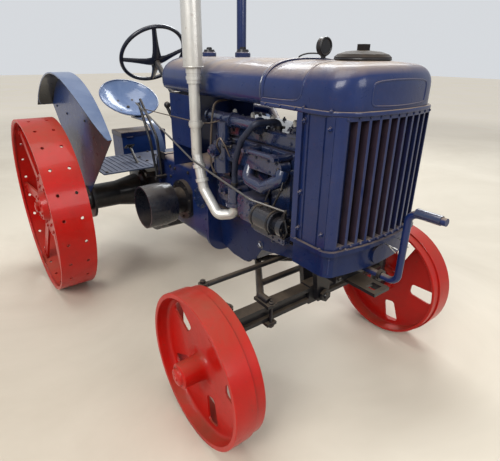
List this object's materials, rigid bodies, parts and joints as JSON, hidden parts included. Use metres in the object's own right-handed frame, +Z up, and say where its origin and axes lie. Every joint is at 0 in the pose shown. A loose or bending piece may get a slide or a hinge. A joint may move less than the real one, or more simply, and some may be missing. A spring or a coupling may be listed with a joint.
{
  "type": "vintage tractor",
  "caption": "A vintage farm tractor on steel wheels with an open engine side, a bowed radiator guard, an upright exhaust, a belt pulley, a pan seat and working steering.",
  "frame": {"origin": "middle of the tractor's length and width, on the ground", "axes": "+X forward, +Y to the left of the driver, +Z up"},
  "size_m": [2.7603, 1.7, 1.908],
  "materials": {
    "body_blue": "worn dark blue paint",
    "axle_black": "black paint, dusty",
    "wheel_red": "red paint with dirt on the treads",
    "pale_blue": "pale blue-grey worn paint",
    "steel_grey": "bare worn iron",
    "silver": "silver heat paint"
  },
  "bodies": {
    "chassis": {"oil_pan": "body_blue", "engine_block": "body_blue", "cylinder_head": "body_blue", "manifold": "body_blue", "air_cleaner": "body_blue", "governor_housing": "body_blue", "gearbox": "body_blue", "radiator_guard": "body_blue", "radiator_side_right": "body_blue", "radiator_side_left": "body_blue", "bottom_tank": "body_blue", "top_tank": "body_blue", "fuel_tank": "body_blue", "dash_panel": "body_blue", "toolbox": "body_blue", "breather_pipe": "axle_black", "magneto": "axle_black", "rear_axle_case": "axle_black", "pulley_housing": "axle_black", "front_support": "axle_black", "front_axle": "axle_black", "radius_rod": "axle_black", "radiator_core": "axle_black", "radiator_cap": "axle_black", "temperature_gauge": "axle_black", "gear_lever": "axle_black", "hand_levers": "axle_black", "drawbar": "axle_black", "tow_plate": "axle_black", "starting_crank": "axle_black", "seat_pan": "pale_blue", "seat_spring": "pale_blue", "fender_right": "pale_blue", "fender_left": "pale_blue", "steering_column": "steel_grey", "foot_plate": "steel_grey", "control_rods": "steel_grey", "exhaust": "silver"},
    "rear_wheel_right": {"rear_wheel_right": "wheel_red"},
    "rear_wheel_left": {"rear_wheel_left": "wheel_red"},
    "front_wheel_right": {"front_wheel_right": "wheel_red"},
    "front_wheel_left": {"front_wheel_left": "wheel_red"},
    "knuckle_right": {"knuckle_right": "axle_black"},
    "knuckle_left": {"knuckle_left": "axle_black"},
    "tie_rod": {"tie_rod": "axle_black"},
    "drop_arm": {"drop_arm": "axle_black"},
    "drag_link": {"drag_link": "axle_black"},
    "steering_wheel": {"steering_wheel": "axle_black"},
    "belt_pulley": {"belt_pulley": "steel_grey"},
    "fan": {"fan": "axle_black"}
  },
  "joints": [
    {"name": "rear_wheel_right_spin", "type": "hinge", "parent": "chassis", "child": "rear_wheel_right", "pos_m": [-0.75517, -0.75, 0.5335], "axis": [0, 1, 0], "continuous": true},
    {"name": "rear_wheel_left_spin", "type": "hinge", "parent": "chassis", "child": "rear_wheel_left", "pos_m": [-0.75517, 0.75, 0.5335], "axis": [0, 1, 0], "continuous": true},
    {"name": "steering_wheel_turn", "type": "hinge", "parent": "chassis", "child": "steering_wheel", "pos_m": [-0.66717, 0, 1.385], "axis": [0.7431, 0, -0.6691], "range_deg": [-360, 360]},
    {"name": "knuckle_right_steer", "type": "hinge", "parent": "chassis", "child": "knuckle_right", "pos_m": [0.84483, -0.486, 0.44], "axis": [0, 0, 1], "range_deg": [-30, 30]},
    {"name": "knuckle_left_steer", "type": "hinge", "parent": "chassis", "child": "knuckle_left", "pos_m": [0.84483, 0.486, 0.44], "axis": [0, 0, 1], "range_deg": [-30, 30]},
    {"name": "front_wheel_right_spin", "type": "hinge", "parent": "knuckle_right", "child": "front_wheel_right", "pos_m": [0.84483, -0.59, 0.31], "axis": [0, 1, 0], "continuous": true},
    {"name": "front_wheel_left_spin", "type": "hinge", "parent": "knuckle_left", "child": "front_wheel_left", "pos_m": [0.84483, 0.59, 0.31], "axis": [0, 1, 0], "continuous": true},
    {"name": "tie_rod_pivot", "type": "hinge", "parent": "knuckle_right", "child": "tie_rod", "pos_m": [0.67283, -0.486, 0.5445], "axis": [0, 0, 1], "range_deg": [-30, 30]},
    {"name": "drop_arm_swing", "type": "hinge", "parent": "chassis", "child": "drop_arm", "pos_m": [-0.14517, 0.196, 0.77], "axis": [0, 1, 0], "range_deg": [-30, 30]},
    {"name": "drag_link_pivot", "type": "hinge", "parent": "drop_arm", "child": "drag_link", "pos_m": [-0.14517, 0.21, 0.598], "axis": [0, 1, 0], "range_deg": [-30, 30]},
    {"name": "belt_pulley_spin", "type": "hinge", "parent": "chassis", "child": "belt_pulley", "pos_m": [-0.08717, -0.3305, 0.642], "axis": [0, 1, 0], "continuous": true},
    {"name": "fan_spin", "type": "hinge", "parent": "chassis", "child": "fan", "pos_m": [0.93983, 0, 1.03], "axis": [1, 0, 0], "continuous": true}
  ],
  "couplings": [
    {"joint": "knuckle_right_steer", "follows": "steering_wheel_turn", "ratio": -0.083333},
    {"joint": "knuckle_left_steer", "follows": "steering_wheel_turn", "ratio": -0.083333},
    {"joint": "tie_rod_pivot", "follows": "steering_wheel_turn", "ratio": 0.083333},
    {"joint": "drop_arm_swing", "follows": "steering_wheel_turn", "ratio": 0.083333},
    {"joint": "drag_link_pivot", "follows": "steering_wheel_turn", "ratio": -0.083333}
  ]
}
